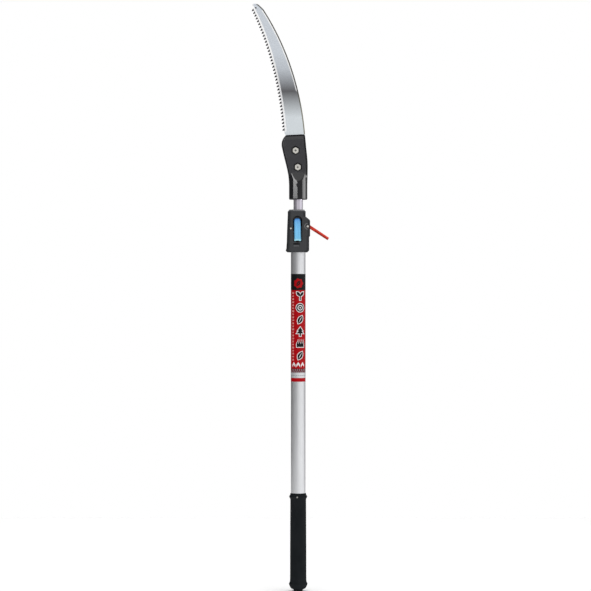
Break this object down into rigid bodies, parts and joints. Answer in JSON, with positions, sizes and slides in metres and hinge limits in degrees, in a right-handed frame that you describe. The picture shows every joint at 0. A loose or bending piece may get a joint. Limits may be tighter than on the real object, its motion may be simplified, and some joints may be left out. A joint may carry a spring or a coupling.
{
  "type": "telescoping pole saw",
  "caption": "Curved pruning saw blade on an inner pole that slides out of a gripped outer pole, held by a clamp lever and a sprung index rocker in the lock.",
  "frame": {"origin": "centre of the flat butt end of the grip, on the outer pole's axis", "axes": "+Z along the pole to the blade, -Y to the front with the release rocker, +X to the side of the clamp lever"},
  "size_m": [0.1482, 0.0406, 1.1273],
  "materials": {
    "blade_steel": "satin, ground",
    "head_plastic": "glossy moulded",
    "bright_steel": "zinc plated",
    "black_steel": "blackened",
    "inner_alloy": "satin anodised",
    "outer_alloy": "satin drawn",
    "bush_nylon": "matte moulded",
    "lock_plastic": "fine grain",
    "lever_plastic": "satin moulded",
    "pad_rubber": "matte",
    "rocker_plastic": "satin gloss moulded",
    "spring_steel": "drawn wire",
    "label_film": "printed film",
    "grip_rubber": "fine matte texture"
  },
  "bodies": {
    "handle": {"outer_pole": "outer_alloy", "tube_end_plug": "bush_nylon", "lock_front_shell": "lock_plastic", "lock_back_shell": "lock_plastic", "guide_bush": "bush_nylon", "shell_screw": "bright_steel", "shell_nut": "bright_steel", "lever_pin": "bright_steel", "lever_pin_nut": "bright_steel", "rocker_pin": "bright_steel", "rocker_spring": "spring_steel", "label_sleeve": "label_film", "grip": "grip_rubber", "grip_screw": "bright_steel"},
    "saw": {"blade": "blade_steel", "head_body": "head_plastic", "blade_bolts": "bright_steel", "blade_washers": "bright_steel", "blade_nuts": "bright_steel", "head_screw": "black_steel", "head_screw_nut": "black_steel", "inner_pole": "inner_alloy", "tail_bush": "bush_nylon", "tail_rivet": "bright_steel"},
    "lever": {"clamp_lever": "lever_plastic"},
    "pad": {"brake_pad": "pad_rubber"},
    "rocker": {"release_rocker": "rocker_plastic", "index_pin": "bright_steel"}
  },
  "joints": [
    {"name": "pole_slide", "type": "slide", "parent": "handle", "child": "saw", "axis": [0, 0, 1], "range_m": [0, 0.56]},
    {"name": "lever_hinge", "type": "hinge", "parent": "handle", "child": "lever", "pos_m": [0.018, 0, 0.6993], "axis": [0, 1, 0], "range_deg": [-35, 56]},
    {"name": "pad_slide", "type": "slide", "parent": "handle", "child": "pad", "axis": [-1, 0, 0], "range_m": [-0.00062, 0.00098]},
    {"name": "rocker_hinge", "type": "hinge", "parent": "handle", "child": "rocker", "pos_m": [-0.0014, -0.017, 0.696], "axis": [1, 0, 0], "range_deg": [0, 6], "stiffness_Nm_per_rad": 0.08, "springref_deg": -14.32, "deforming": ["rocker_spring"]}
  ],
  "couplings": [
    {"joint": "pad_slide", "follows": "lever_hinge", "m_per_rad": 0.001}
  ]
}
